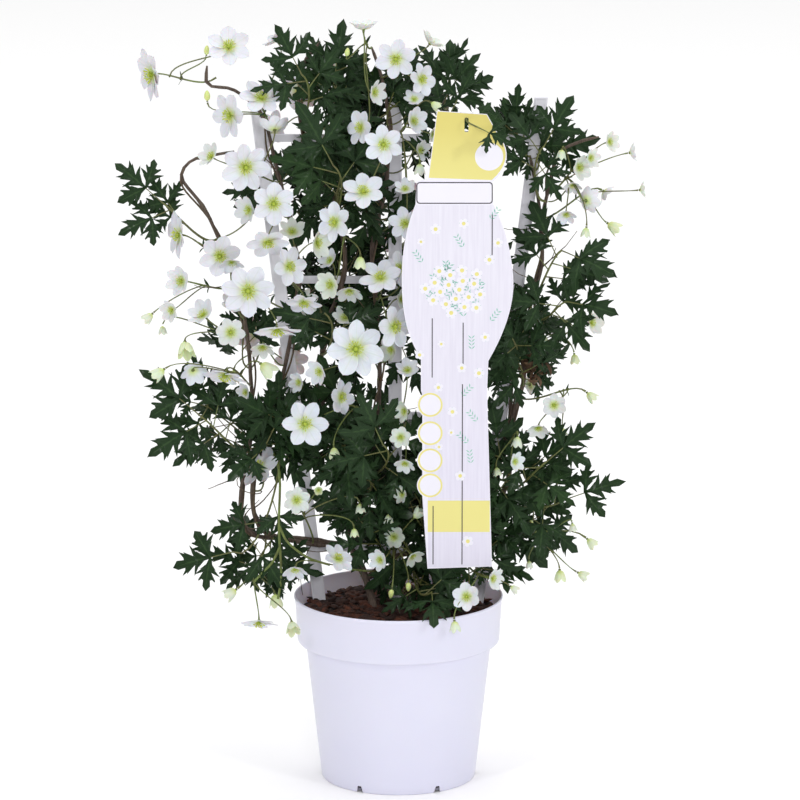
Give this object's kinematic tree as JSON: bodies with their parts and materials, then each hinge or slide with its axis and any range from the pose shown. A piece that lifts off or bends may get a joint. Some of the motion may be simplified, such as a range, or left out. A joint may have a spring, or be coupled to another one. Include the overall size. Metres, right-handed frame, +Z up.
{
  "type": "potted clematis",
  "caption": "White-flowered clematis in a white plastic nursery pot, trained on a plastic fan trellis, with a hanging card tag.",
  "frame": {"origin": "centre of the pot's base, on the surface it stands on", "axes": "+Z up, +X to the viewer's right, front with the card tag towards -Y"},
  "size_m": [0.4764, 0.201, 0.6995],
  "materials": {
    "white_plastic": "satin moulded plastic, slightly lavender white",
    "trellis_plastic": "satin moulded plastic slats",
    "bark_soil": "moist potting mix with bark chips",
    "woody_stem": "grey-brown ridged bark",
    "leaf": "dark green leaf, semi-gloss",
    "petal": "soft white petal, green at the eye",
    "printed_card": "coated card with plain pale panels"
  },
  "bodies": {
    "root": {"pot": "white_plastic", "soil": "bark_soil", "trellis": "trellis_plastic", "card_tag": "printed_card", "woody_stems": "woody_stem", "shoot_card_carrier": "leaf", "spray_star": "petal", "spray_crown_left": "petal", "spray_shoulder": "petal", "spray_heart": "petal", "spray_inner_left": "petal", "spray_left_side": "petal", "spray_big_left": "petal", "spray_left_cup": "petal", "spray_left_mid": "petal", "spray_left_low": "petal", "spray_crest": "petal", "spray_top": "petal", "spray_mid": "petal", "spray_card_edge": "petal", "spray_mid_left": "petal", "spray_centre": "petal", "spray_largest": "petal", "spray_lower_mid": "petal", "spray_alone": "petal", "spray_lower": "petal", "spray_foot": "petal", "spray_over_rim": "petal", "spray_by_card": "petal", "spray_card_side": "petal", "spray_right_top": "petal", "spray_right_tip": "petal", "spray_right_upper": "petal", "spray_right_mid": "petal", "spray_card_right": "petal", "spray_right_low": "petal", "spray_front_rim": "petal", "spray_back_top": "petal", "spray_back_mid": "petal", "spray_back_left": "petal", "spray_back_right": "petal", "spray_back_low": "petal", "shoot_top_left": "leaf", "shoot_top_mid": "leaf", "shoot_crown": "leaf", "shoot_card_top": "leaf", "shoot_right_top": "leaf", "shoot_right_upper": "leaf", "shoot_right_mid": "leaf", "shoot_right_low": "leaf", "shoot_right_foot": "leaf", "shoot_left_upper": "leaf", "shoot_left_mid": "leaf", "shoot_centre_left": "leaf", "shoot_centre": "leaf", "shoot_left_foot": "leaf", "shoot_front": "leaf", "shoot_back_upper": "leaf", "shoot_back_mid": "leaf", "shoot_back_right": "leaf"}
  },
  "joints": []
}
